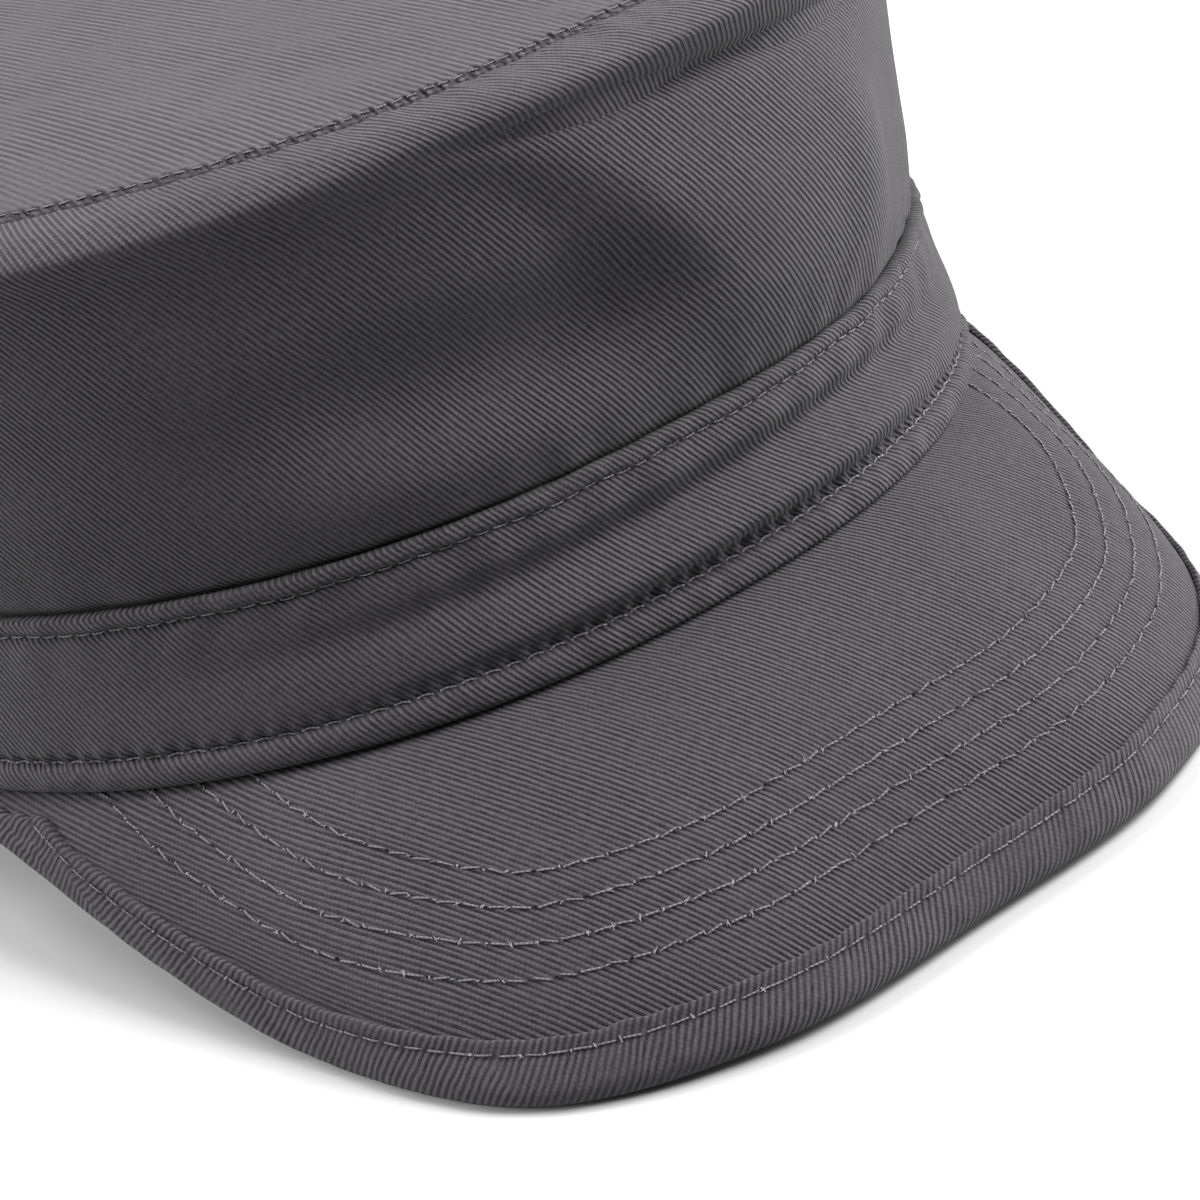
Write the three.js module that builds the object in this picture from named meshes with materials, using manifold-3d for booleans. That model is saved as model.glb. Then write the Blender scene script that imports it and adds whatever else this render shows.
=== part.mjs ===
import * as THREE from "three";
import ManifoldModule from "manifold-3d";

const wasm = await ManifoldModule();
wasm.setup();
const { Manifold, Mesh: SolidMesh } = wasm;

// Driving sizes in millimetres and degrees. The cap is drawn upright on its own rim plane,
// front towards -Y, and is laid back on the floor at the end.
const rimLength = 192;          // outside of the band's lower edge, front to back
const rimWidth = 182;           // outside of the band's lower edge, side to side
const rimSquareness = 2.22;     // superellipse power of every horizontal section
const bandHeight = 24;          // rim to the band's folded upper edge
const bandLean = 3;             // how far the band's upper edge stands in from its lower edge
const bandWall = 1.8;           // folded band cloth
const weltHeight = 3.9;         // rounded hem under the band's lower stitching
const weltBulge = 0.8;          // how far that hem stands out
const edgeFold = 2.2;           // turned upper edge of the band, above its stitching
const clothWall = 1.4;          // crown side and top cloth with its seam allowance
const crownHeight = 76.7;       // rim plane to the top seam
const shoulderOut = 4.5;        // how far the rolled shoulder stands out from the rim line
const seamInset = 5.2;          // top seam, in from the rim line
const crownTuck = 3.2;          // crown cloth hidden behind the band
const topRise = 2.4;            // gentle dome of the top panel
const peakHalfAngle = 75;       // half of the arc of rim that carries the peak
const peakReach = 39.5;         // tip of the peak, forward of the rim
const peakDrop = 37;            // tip of the peak, below the rim plane
const peakBow = 5.1;            // how far the peak bows up between rim and edge
const peakWall = 1.8;           // stiff peak with its cloth
const bindingWidth = 7.6;       // folded tape over the peak's edge, each face
const bindingWall = 1.0;        // one layer of that tape
const restFlat = 0.35;          // depth of cloth pressed flat where the cap meets the floor
const gap = 0.3;                // clearance between neighbouring pieces

const sections = 72;            // sections round the head
const frontCrowding = 0.3;      // 0 spreads the sections evenly, 1 gathers them at the front
const peakSections = 34;        // sections across the peak and its binding

const halfLength = rimLength / 2;
const halfWidth = rimWidth / 2;
const crownRise = crownHeight - bandHeight;
const peakAngle = THREE.MathUtils.degToRad(peakHalfAngle);
const bindingLift = bindingWall + gap;

// Crown side from the band up to the top seam.
// rise: share of crownRise. bulge: share of shoulderOut. tuck: share of seamInset.
const crownProfile = [
  { rise: 0.022, bulge: -0.9, tuck: 0 },
  { rise: 0.075, bulge: -0.56, tuck: 0 },
  { rise: 0.2, bulge: -0.25, tuck: 0 },
  { rise: 0.34, bulge: -0.18, tuck: 0 },
  { rise: 0.48, bulge: -0.08, tuck: 0 },
  { rise: 0.6, bulge: 0.06, tuck: 0 },
  { rise: 0.7, bulge: 0.2, tuck: 0 },
  { rise: 0.775, bulge: 0.36, tuck: 0 },
  { rise: 0.83, bulge: 0.56, tuck: 0 },
  { rise: 0.875, bulge: 0.82, tuck: 0 },
  { rise: 0.915, bulge: 1, tuck: 0 },
  { rise: 0.95, bulge: 0.84, tuck: 0 },
  { rise: 0.975, bulge: 0.42, tuck: 0.02 },
  { rise: 0.991, bulge: 0, tuck: 0.3 },
  { rise: 1, bulge: 0, tuck: 1 },
];

// Outside of the band. up: share of its zone. out: share of weltBulge.
const weltProfile = [
  { up: 0, out: 0 },
  { up: 0.22, out: 0.85 },
  { up: 0.62, out: 1 },
  { up: 1, out: -0.15 },
];
const bandStations = [0.22, 0.5, 0.72, 1];
const edgeFoldProfile = [
  { up: 0.4, out: 0.55 },
  { up: 1, out: 0.2 },
];

// Folds of the crown side. angle: degrees round from the front, positive to the wearer's left.
// height: share of crownHeight at that angle. slant: change of height per 10 degrees.
// spread: half length in degrees. reach: half height as a share of crownHeight. depth: out is positive.
const crownFolds = [
  { angle: 4, height: 0.962, slant: -0.012, spread: 20, reach: 0.02, depth: 0.9 },
  { angle: 7, height: 0.885, slant: -0.022, spread: 21, reach: 0.021, depth: -2.6 },
  { angle: -48, height: 0.88, slant: 0, spread: 24, reach: 0.16, depth: 1.2 },
  { angle: -15, height: 0.56, slant: 0, spread: 18, reach: 0.1, depth: -3 },
  { angle: -17, height: 0.415, slant: 0, spread: 15, reach: 0.07, depth: 1.4 },
  { angle: -38, height: 0.68, slant: 0, spread: 9, reach: 0.11, depth: 0.9 },
  { angle: 27, height: 0.55, slant: 0, spread: 4, reach: 0.14, depth: 0.9 },
  { angle: 78, height: 0.62, slant: 0.03, spread: 20, reach: 0.09, depth: -1.4 },
  { angle: 128, height: 0.58, slant: -0.02, spread: 22, reach: 0.11, depth: -1.3 },
  { angle: -122, height: 0.66, slant: 0.02, spread: 24, reach: 0.1, depth: -1.3 },
];

// Slumped fold at the right of the front, standing out by slumpDepth under the shoulder's crease.
// slumpEdge is its left edge, which softens downward. height: share of crownHeight. angle: degrees from the front.
// slumpDrop is how far it stands out. below: share of crownHeight under the crease. out: share.
const slumpDepth = 4.4;
const slumpSoft = 6;            // degrees over which its left edge rises
const slumpRight = [22, 40];    // degrees between which it dies away on the right
const slumpCrease = [0.9, -0.0022];  // height of the crease at the front and its slope per degree
const slumpEdge = [
  { height: 0.2, angle: 4 },
  { height: 0.365, angle: 1 },
  { height: 0.47, angle: -1 },
  { height: 0.56, angle: -2.5 },
  { height: 0.626, angle: -4 },
  { height: 0.704, angle: -5.5 },
  { height: 0.77, angle: -7 },
  { height: 0.834, angle: -10 },
  { height: 0.926, angle: -15 },
];
const slumpDrop = [
  { below: 0, out: 0 },
  { below: 0.04, out: 0.28 },
  { below: 0.1, out: 0.6 },
  { below: 0.17, out: 0.9 },
  { below: 0.22, out: 1 },
  { below: 0.28, out: 0.97 },
  { below: 0.38, out: 0.72 },
  { below: 0.5, out: 0.32 },
  { below: 0.62, out: 0 },
];

// Folds of the band, with height and reach as shares of bandHeight.
const bandFolds = [
  { angle: 4, height: 0.605, slant: 0.004, spread: 34, reach: 0.1, depth: -3.2 },
  { angle: 8, height: 0.385, slant: 0.016, spread: 25, reach: 0.095, depth: 2.6 },
  { angle: 3, height: 0.22, slant: 0, spread: 34, reach: 0.045, depth: -1.4 },
  { angle: 52, height: 0.4, slant: 0, spread: 20, reach: 0.35, depth: 0.9 },
  { angle: 74, height: 0.9, slant: 0, spread: 22, reach: 0.4, depth: 1.8 },
];

// Edge of the peak from its middle to its corner.
// along: share of the half edge. side: share of the corner's distance from the middle.
// forward: share from the corner to the tip. drop: share of peakDrop. bow: share of peakBow.
const peakEdge = [
  { along: 0, side: 0, forward: 1, drop: 1, bow: 1 },
  { along: 0.2, side: 0.388, forward: 0.984, drop: 0.988, bow: 0.96 },
  { along: 0.4, side: 0.716, forward: 0.837, drop: 0.954, bow: 0.9 },
  { along: 0.58, side: 0.854, forward: 0.578, drop: 0.838, bow: 0.62 },
  { along: 0.74, side: 0.927, forward: 0.356, drop: 0.561, bow: 0.47 },
  { along: 0.88, side: 0.974, forward: 0.178, drop: 0.248, bow: 0.27 },
  { along: 1, side: 1, forward: 0, drop: 0, bow: 0 },
];
const rootCrowding = 0.72;      // power that spaces the peak's ribs along the rim
const peakEnd = 0.955;          // last rib, as a share of the half edge

// Point on the horizontal section at an angle from the front, moved outwards along its normal.
function rimPoint(angle, out, z) {
  const s = Math.sin(angle);
  const c = Math.cos(angle);
  const power = rimSquareness;
  const scale = (Math.abs(s) ** power + Math.abs(c) ** power) ** (-1 / power);
  const x = halfWidth * s * scale;
  const y = -halfLength * c * scale;
  const nx = (Math.sign(x) * Math.abs(x / halfWidth) ** (power - 1)) / halfWidth;
  const ny = (Math.sign(y) * Math.abs(y / halfLength) ** (power - 1)) / halfLength;
  const size = Math.hypot(nx, ny);
  return new THREE.Vector3(x + (out * nx) / size, y + (out * ny) / size, z);
}

// Angles of the sections round the head, closer together at the front.
function sectionAngles() {
  return Array.from({ length: sections }, (_, i) => {
    const even = (i / sections) * 2 * Math.PI;
    return even - frontCrowding * Math.sin(even);
  });
}

// Sum of the folds at an angle and a height, in millimetres outwards.
function foldAt(folds, angle, height, whole) {
  const degrees = THREE.MathUtils.radToDeg(angle);
  let sum = 0;
  for (const fold of folds) {
    const turn = ((degrees - fold.angle + 540) % 360) - 180;
    const centre = (fold.height + (fold.slant * turn) / 10) * whole;
    const a = turn / fold.spread;
    const b = (height - centre) / (fold.reach * whole);
    sum += fold.depth * Math.exp(-(Math.abs(a) ** 3) - b * b);
  }
  return sum;
}

// Value of a table at a place along it, straight between its rows.
function lineValue(table, from, to, place) {
  let last = table[0];
  for (const row of table) {
    if (row[from] >= place) {
      const share = row[from] === last[from] ? 0 : (place - last[from]) / (row[from] - last[from]);
      return THREE.MathUtils.lerp(last[to], row[to], share);
    }
    last = row;
  }
  return last[to];
}

// Outward move of the slumped fold at an angle and height of the crown.
function slumpAt(angle, height) {
  const degrees = THREE.MathUtils.radToDeg(angle);
  const share = height / crownHeight;
  const left = lineValue(slumpEdge, "height", "angle", share);
  const crease = slumpCrease[0] + slumpCrease[1] * degrees;
  const soft = slumpSoft * (1 + 2 * Math.max(crease - share, 0));
  const rise = THREE.MathUtils.smoothstep(degrees, left - soft / 3, left + soft);
  const fall = 1 - THREE.MathUtils.smoothstep(degrees, slumpRight[0], slumpRight[1]);
  return slumpDepth * rise * fall * lineValue(slumpDrop, "below", "out", crease - share);
}

// Smooth value of one column of a table at a place along it, mirrored about its first row.
function tableValue(table, place, column, odd) {
  const rows = table.slice(1).reverse().map((row) => ({
    at: -row.along,
    value: odd ? -row[column] : row[column],
  })).concat(table.map((row) => ({ at: row.along, value: row[column] })));
  const slope = (i) => {
    const a = rows[Math.max(i - 1, 0)];
    const b = rows[Math.min(i + 1, rows.length - 1)];
    return (b.value - a.value) / (b.at - a.at);
  };
  let i = 0;
  while (i < rows.length - 2 && place > rows[i + 1].at) {
    i += 1;
  }
  const span = rows[i + 1].at - rows[i].at;
  const t = (place - rows[i].at) / span;
  const t2 = t * t;
  const t3 = t2 * t;
  return (2 * t3 - 3 * t2 + 1) * rows[i].value + (t3 - 2 * t2 + t) * span * slope(i)
    + (3 * t2 - 2 * t3) * rows[i + 1].value + (t3 - t2) * span * slope(i + 1);
}

// Closed solid between an outside and an inside grid of points, one row per section.
// joined: the last section meets the first.
function shellSolid(outside, inside, joined) {
  const keys = new Map();
  const points = [];
  const faces = [];
  const indexOf = (p) => {
    const key = [p.x, p.y, p.z].map((v) => Math.round(v * 1e5)).join();
    if (!keys.has(key)) {
      keys.set(key, points.length / 3);
      points.push(p.x, p.y, p.z);
    }
    return keys.get(key);
  };
  const triangle = (a, b, c) => {
    if (a !== b && b !== c && c !== a) {
      faces.push(a, b, c);
    }
  };
  const quad = (a, b, c, d) => {
    const [i, j, k, l] = [a, b, c, d].map(indexOf);
    if (a.distanceTo(c) <= b.distanceTo(d)) {
      triangle(i, j, k);
      triangle(i, k, l);
    } else {
      triangle(i, j, l);
      triangle(j, k, l);
    }
  };
  const rows = outside.length;
  const last = outside[0].length - 1;
  for (let r = 0; r < (joined ? rows : rows - 1); r += 1) {
    const n = (r + 1) % rows;
    for (let c = 0; c < last; c += 1) {
      quad(outside[r][c], outside[n][c], outside[n][c + 1], outside[r][c + 1]);
      quad(inside[r][c + 1], inside[n][c + 1], inside[n][c], inside[r][c]);
    }
    quad(inside[r][0], inside[n][0], outside[n][0], outside[r][0]);
    quad(outside[r][last], outside[n][last], inside[n][last], inside[r][last]);
  }
  if (!joined) {
    for (let c = 0; c < last; c += 1) {
      quad(inside[0][c], outside[0][c], outside[0][c + 1], inside[0][c + 1]);
      const e = rows - 1;
      quad(outside[e][c], inside[e][c], inside[e][c + 1], outside[e][c + 1]);
    }
  }
  let solid = new Manifold(new SolidMesh({
    numProp: 3,
    vertProperties: new Float32Array(points),
    triVerts: new Uint32Array(faces),
  }));
  if (solid.volume() < 0) {
    for (let i = 0; i < faces.length; i += 3) {
      [faces[i], faces[i + 1]] = [faces[i + 1], faces[i]];
    }
    solid = new Manifold(new SolidMesh({
      numProp: 3,
      vertProperties: new Float32Array(points),
      triVerts: new Uint32Array(faces),
    }));
  }
  return solid;
}

// Inner face of a cloth profile, one wall behind its outer face. Points are { out, z }.
function behind(profile, wall) {
  return profile.map((p, i) => {
    const a = profile[Math.max(i - 1, 0)];
    const b = profile[Math.min(i + 1, profile.length - 1)];
    const size = Math.hypot(b.out - a.out, b.z - a.z);
    return { out: p.out - (wall * (b.z - a.z)) / size, z: p.z + (wall * (b.out - a.out)) / size };
  });
}

function ringSolid(outerAt, innerAt) {
  const angles = sectionAngles();
  const place = (profileAt) => angles.map((a) => profileAt(a).map((p) => rimPoint(a, p.out, p.z)));
  return shellSolid(place(outerAt), place(innerAt), true);
}

// Plain leaning wall of the band at a height, before its welt and turned edge.
function bandLine(z) {
  return (-bandLean * z) / bandHeight;
}

function bandProfile(angle, relief, depth) {
  const plainHeight = bandHeight - edgeFold - weltHeight;
  const rows = [
    ...weltProfile.map((row) => ({ z: row.up * weltHeight, out: row.out * weltBulge })),
    ...bandStations.map((up) => ({ z: weltHeight + up * plainHeight, out: 0 })),
    ...edgeFoldProfile.map((row) => ({
      z: bandHeight - edgeFold + row.up * edgeFold,
      out: row.out * weltBulge,
    })),
  ];
  return rows.map((row) => ({
    z: row.z,
    out: bandLine(row.z) + relief * row.out - depth + foldAt(bandFolds, angle, row.z, bandHeight),
  }));
}

function crownSideProfile(angle) {
  const hidden = -bandLean - bandWall - gap;
  const follow = foldAt(bandFolds, angle, bandHeight, bandHeight);
  const tucked = [bandHeight - crownTuck, bandHeight + gap].map((z) => ({
    z,
    out: hidden + follow,
  }));
  const shown = crownProfile.map((row) => {
    const z = bandHeight + row.rise * crownRise;
    const settle = Math.max(0, 1 - row.rise * 8);
    const fade = 1 - row.tuck;
    return {
      z,
      out: row.bulge * shoulderOut - row.tuck * seamInset + settle * follow
        + fade * (foldAt(crownFolds, angle, z, crownHeight) + slumpAt(angle, z)),
    };
  });
  return [...tucked, ...shown];
}

// Top panel: shares of the way from its middle to the seam.
const topStations = [0, 0.3, 0.58, 0.8, 0.94, 1];

function topSolid() {
  const face = (sink) => sectionAngles().map((angle) => topStations.map((share) => {
    const edge = rimPoint(angle, -seamInset - 2 * gap, 0);
    const dome = topRise * (1 - share ** 3);
    return new THREE.Vector3(edge.x * share, edge.y * share, crownHeight + dome - sink);
  }));
  return shellSolid(face(0), face(clothWall), true);
}

// Outer edge of the peak at a signed share of its half edge.
function peakEdgePoint(place) {
  const corner = rimPoint(peakAngle, 0, 0);
  const tip = -halfLength - peakReach;
  return new THREE.Vector3(
    corner.x * tableValue(peakEdge, place, "side", true),
    corner.y + (tip - corner.y) * tableValue(peakEdge, place, "forward", false),
    -peakDrop * tableValue(peakEdge, place, "drop", false),
  );
}

// Rib of the peak: its root under the band, its edge, its normal and its bow.
function peakRib(place) {
  const rootAngle = peakAngle * Math.sign(place) * Math.abs(place) ** rootCrowding;
  const cornerDip = bindingLift * THREE.MathUtils.smoothstep(Math.abs(place), 0.6, 0.9);
  const root = rimPoint(rootAngle, 0, -gap - cornerDip);
  const edge = peakEdgePoint(place);
  const step = 0.01;
  const across = peakEdgePoint(place + step).sub(peakEdgePoint(place - step));
  const rib = edge.clone().sub(root);
  const normal = rib.clone().cross(across).normalize();
  const tangent = across.normalize();
  const square = Math.sqrt(1 - rib.clone().normalize().dot(tangent) ** 2);
  const bow = peakBow * tableValue(peakEdge, place, "bow", false);
  return { root, edge, normal, bow, inward: rib.length() * square, rootAngle };
}

// Point on the peak's upper face at a share of the rib, raised along the normal.
function peakPoint(rib, share, raise) {
  const lift = raise + 4 * share * (1 - share) * rib.bow;
  return rib.root.clone().lerp(rib.edge, share).addScaledVector(rib.normal, lift);
}

function peakRibs() {
  return Array.from({ length: peakSections + 1 }, (_, i) => {
    const even = (2 * i) / peakSections - 1;
    return peakRib(peakEnd * (0.35 * Math.sin((even * Math.PI) / 2) + 0.65 * even));
  });
}

// Stations of the peak: shares of the way to the tape, then shares of bindingWidth from the edge.
const openStations = [0, 0.12, 0.3, 0.52, 0.76];
const tapedStations = [1, 0.65, 0.3];

// Width of the tape on one rib, and the share of the rib at a distance in from the edge.
function tapeWidth(rib) {
  return Math.min(bindingWidth, 0.85 * rib.inward);
}

function shareAt(rib, inset) {
  return 1 - inset / rib.inward;
}

function peakSolid() {
  const face = (sink) => peakRibs().map((rib) => {
    const start = shareAt(rib, tapeWidth(rib));
    const taped = tapedStations.map((inset) => shareAt(rib, inset * tapeWidth(rib)));
    const end = shareAt(rib, Math.min(bindingLift, 0.27 * rib.inward));
    const shares = [...openStations.map((s) => s * start), ...taped, end];
    return shares.map((share) => peakPoint(rib, share, -sink));
  });
  return shellSolid(face(0), face(peakWall), false);
}

// Folded tape round the edge of the peak. inset: share of tapeWidth in from the edge.
// side: share of the way from the middle of the peak's thickness to the face of the tape.
const tapeBend = [
  { inset: 1, side: 1 },
  { inset: 0.65, side: 1 },
  { inset: 0.3, side: 1 },
  { inset: 0.1, side: 0.85 },
  { inset: 0, side: 0.35 },
  { inset: 0, side: -0.35 },
  { inset: 0.1, side: -0.85 },
  { inset: 0.3, side: -1 },
  { inset: 0.65, side: -1 },
  { inset: 1, side: -1 },
];

function bindingSolid() {
  const half = peakWall / 2;
  const clear = half + gap;
  const full = clear + bindingWall;
  const outer = peakRibs().map((rib) => tapeBend.map((row) => {
    const share = shareAt(rib, row.inset * tapeWidth(rib));
    return peakPoint(rib, share, row.side * full - half);
  }));
  const inner = peakRibs().map((rib) => tapeBend.map((row) => {
    const wall = Math.min(bindingWall, 0.13 * rib.inward);
    const share = shareAt(rib, Math.max(row.inset * tapeWidth(rib), wall));
    const side = Math.abs(row.side) > 0.8 ? Math.sign(row.side) : row.side;
    return peakPoint(rib, share, side * clear - half);
  }));
  return shellSolid(outer, inner, false);
}

const cloth = { color: 0x5a585b, roughness: 0.92, metalness: 0 };

const solids = {
  crown_top: topSolid(),
  crown_side: ringSolid(crownSideProfile, (angle) => behind(crownSideProfile(angle), clothWall)),
  band: ringSolid((angle) => bandProfile(angle, 1, 0), (angle) => bandProfile(angle, 0, bandWall)),
  peak: peakSolid(),
  peak_binding: bindingSolid(),
};

// The cap leans back until the edge of its peak and the back of its band share one floor.
function lowest(solid, lean) {
  const { vertProperties, numProp } = solid.getMesh();
  let low = Infinity;
  for (let i = 0; i < vertProperties.length; i += numProp) {
    low = Math.min(low, vertProperties[i + 2] * Math.cos(lean) - vertProperties[i + 1] * Math.sin(lean));
  }
  return low;
}

function restingLean() {
  let low = 0;
  let high = Math.PI / 6;
  for (let i = 0; i < 40; i += 1) {
    const lean = (low + high) / 2;
    if (lowest(solids.peak_binding, lean) < lowest(solids.band, lean)) {
      low = lean;
    } else {
      high = lean;
    }
  }
  return (low + high) / 2;
}

const lean = restingLean();
const floor = lowest(solids.band, lean) + restFlat;

function toMesh(name, solid) {
  const trimmed = solid.trimByPlane([0, -Math.sin(lean), Math.cos(lean)], floor);
  const { vertProperties, triVerts, numProp } = trimmed.getMesh();
  const positions = new Float32Array((vertProperties.length / numProp) * 3);
  for (let i = 0; i < positions.length / 3; i += 1) {
    positions.set(vertProperties.subarray(i * numProp, i * numProp + 3), i * 3);
  }
  const geometry = new THREE.BufferGeometry();
  geometry.setAttribute("position", new THREE.BufferAttribute(positions, 3));
  geometry.setIndex(Array.from(triVerts));
  const flat = geometry.toNonIndexed();
  flat.computeVertexNormals();
  const mesh = new THREE.Mesh(flat, new THREE.MeshStandardMaterial(cloth));
  mesh.name = name;
  return mesh;
}

const leaning = new THREE.Group();
leaning.name = "cap_on_its_rim";
leaning.rotation.x = -lean;
leaning.position.z = -floor;
for (const [name, solid] of Object.entries(solids)) {
  leaning.add(toMesh(name, solid));
}

const cap = new THREE.Group();
cap.name = "patrol_cap";
cap.add(leaning);
cap.updateMatrixWorld(true);
const box = new THREE.Box3().setFromObject(cap, true);
leaning.position.x -= (box.min.x + box.max.x) / 2;
leaning.position.y -= (box.min.y + box.max.y) / 2;
cap.updateMatrixWorld(true);

export default cap;
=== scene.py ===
import math

import bpy
import numpy as np
from mathutils import Matrix, Vector


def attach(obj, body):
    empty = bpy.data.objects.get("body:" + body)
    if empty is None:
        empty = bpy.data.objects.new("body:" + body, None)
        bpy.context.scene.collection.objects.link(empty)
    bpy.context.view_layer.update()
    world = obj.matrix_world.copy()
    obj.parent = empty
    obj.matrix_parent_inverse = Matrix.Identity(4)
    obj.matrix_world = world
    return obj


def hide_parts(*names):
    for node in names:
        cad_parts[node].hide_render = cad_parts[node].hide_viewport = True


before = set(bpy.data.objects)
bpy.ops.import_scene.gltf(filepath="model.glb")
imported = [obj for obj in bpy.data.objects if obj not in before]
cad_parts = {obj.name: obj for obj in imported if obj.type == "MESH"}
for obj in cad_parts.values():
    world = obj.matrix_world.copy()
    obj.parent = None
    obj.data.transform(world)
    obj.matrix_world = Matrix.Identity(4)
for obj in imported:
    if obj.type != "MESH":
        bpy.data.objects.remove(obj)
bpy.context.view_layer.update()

# Sizes of the cap in millimetres, on its own rim plane, front towards -Y.
RIM_LENGTH, RIM_WIDTH, SQUARENESS = 192.0, 182.0, 2.22
BAND_HEIGHT, BAND_LEAN, BAND_WALL = 24.0, 3.0, 1.6
WELT_HEIGHT, WELT_BULGE = 3.9, 0.7
EDGE_FOLD = 2.2
CROWN_HEIGHT, CROWN_WALL, CROWN_TUCK = 76.7, 1.0, 3.0
SHOULDER_OUT, SEAM_INSET, TOP_RISE = 4.5, 5.2, 2.4
PEAK_HALF_ANGLE, PEAK_REACH, PEAK_DROP, PEAK_BOW, PEAK_WALL = 75.0, 39.5, 37.0, 5.1, 2.4
TAPE_WIDTH, TAPE_LIFT, TAPE_STITCH = 7.4, 0.8, 5.5
ROW_FIRST, ROW_STEP, ROWS = 15.2, 4.5, 4
PEAK_PITCH, TAPE_PITCH, HEM_PITCH, BAND_PITCH, SEAM_PITCH = 3.2, 3.1, 3.1, 2.7, 2.3
WALE = 0.74

# Where the cap lies: leaned back, then raised and moved back onto the frame's origin.
LEAN = math.radians(9.853)
RAISED, MOVED_BACK = 16.078, 14.336
LOWEST = 0.05

A, B = RIM_LENGTH / 2, RIM_WIDTH / 2
RISE = CROWN_HEIGHT - BAND_HEIGHT
TOP_RADIUS = 82
# Lengths round the rim and along the peak's edge, for unevenness that meets itself.
ROUND, EDGE_ROUND = 600.0, 260.0
TURN = 2 * math.pi
MM = 0.001


def smooth(xs, ys, at):
    """Smooth curve through a short table."""
    xs, ys, at = np.asarray(xs, float), np.asarray(ys, float), np.asarray(at, float)
    d = np.gradient(ys, xs) if len(xs) > 2 else np.full(len(xs), (ys[-1] - ys[0]) / (xs[-1] - xs[0]))
    i = np.clip(np.searchsorted(xs, at, side="right") - 1, 0, len(xs) - 2)
    h = xs[i + 1] - xs[i]
    t = np.clip((at - xs[i]) / h, 0, 1)
    return ((2 * t**3 - 3 * t**2 + 1) * ys[i] + (t**3 - 2 * t**2 + t) * h * d[i]
            + (3 * t**2 - 2 * t**3) * ys[i + 1] + (t**3 - t**2) * h * d[i + 1])


def step(x, lo, hi):
    """0 below lo, 1 above hi, smooth between them."""
    t = np.clip((x - lo) / (hi - lo), 0, 1)
    return t * t * (3 - 2 * t)


def wobble(along, seed, shortest, longest, whole=ROUND, count=9):
    """Seeded smooth unevenness along a closed length, about -1 to 1."""
    rng = np.random.RandomState(seed)
    lo, hi = max(1, int(whole / longest)), max(2, int(whole / shortest))
    out = np.zeros_like(along)
    for _ in range(count):
        k = rng.randint(lo, hi + 1)
        out += rng.uniform(0.5, 1) * np.sin(TURN * k * along / whole + rng.uniform(0, TURN))
    return out / (0.55 * count**0.5 * 1.4)


def rim(angle, out, z):
    """Points of a horizontal section, moved out along its normal."""
    angle, out, z = np.broadcast_arrays(angle, out, z)
    angle = np.where(np.abs(angle) < 1e-9, 1e-9, angle)
    s, c, n = np.sin(angle), np.cos(angle), SQUARENESS
    scale = (np.abs(s)**n + np.abs(c)**n)**(-1 / n)
    x, y = B * s * scale, -A * c * scale
    nx = np.sign(x) * np.abs(x / B)**(n - 1) / B
    ny = np.sign(y) * np.abs(y / A)**(n - 1) / A
    size = np.hypot(nx, ny)
    return np.stack([x + out * nx / size, y + out * ny / size, z + 0 * x], -1)


def arcs(points):
    """Length run so far at each point of a polyline."""
    return np.r_[0, np.cumsum(np.linalg.norm(np.diff(points, axis=0), axis=1))]


FINE = np.linspace(-math.pi, math.pi, 2001)
FINE_ARC = arcs(rim(FINE, 0, 0))
FINE_ARC = FINE_ARC - FINE_ARC[len(FINE) // 2]


def arc_at(angle):
    """Length along the rim from the front to an angle."""
    return np.interp(angle, FINE, FINE_ARC)


def back_seam(arc, width):
    """1 at the seam of the back, 0 away from it."""
    return np.exp(-((np.abs(arc) - FINE_ARC[-1]) / width)**2)


# Folds: angle in degrees, height, slant per 10 degrees and reach as shares of the whole,
# spread in degrees, depth in millimetres.
CROWN_FOLDS = [
    (4, 0.962, -0.012, 20, 0.02, 0.9),
    (7, 0.885, -0.022, 21, 0.021, -2.6),
    (-48, 0.88, 0, 24, 0.16, 1.2),
    (-15, 0.565, 0, 18, 0.095, -4.4),
    (-17, 0.415, 0, 15, 0.07, 0.9),
    (-38, 0.68, 0, 9, 0.11, 0.9),
    (27, 0.55, 0, 4, 0.14, 0.9),
    (78, 0.62, 0.03, 20, 0.09, -1.4),
    (128, 0.58, -0.02, 22, 0.11, -1.3),
    (-122, 0.66, 0.02, 24, 0.1, -1.3),
]
BAND_FOLDS = [
    (4, 0.605, 0.004, 34, 0.1, -3.2),
    (8, 0.385, 0.016, 25, 0.095, 2.6),
    (3, 0.22, 0, 34, 0.045, -1.4),
    (52, 0.4, 0, 20, 0.35, 0.9),
    (74, 0.9, 0, 22, 0.4, 1.8),
]
# Slumped fold under the crease at the right of the front. Edge: its left side as height share and
# degrees. Drop: share of the height below the crease, and how far it stands out there.
SLUMP_DEPTH, SLUMP_SOFT, SLUMP_RIGHT, SLUMP_CREASE = 4.4, 6.0, (22, 40), (0.9, -0.0022)
SLUMP_EDGE = [
    (0.2, 4),
    (0.365, 1),
    (0.47, -1),
    (0.56, -2.5),
    (0.626, -4),
    (0.704, -5.5),
    (0.77, -7),
    (0.834, -10),
    (0.926, -15),
]
SLUMP_DROP = [
    (0, 0),
    (0.04, 0.28),
    (0.1, 0.6),
    (0.17, 0.9),
    (0.22, 1),
    (0.28, 0.97),
    (0.38, 0.72),
    (0.5, 0.32),
    (0.62, 0),
    (1, 0),
]


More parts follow.
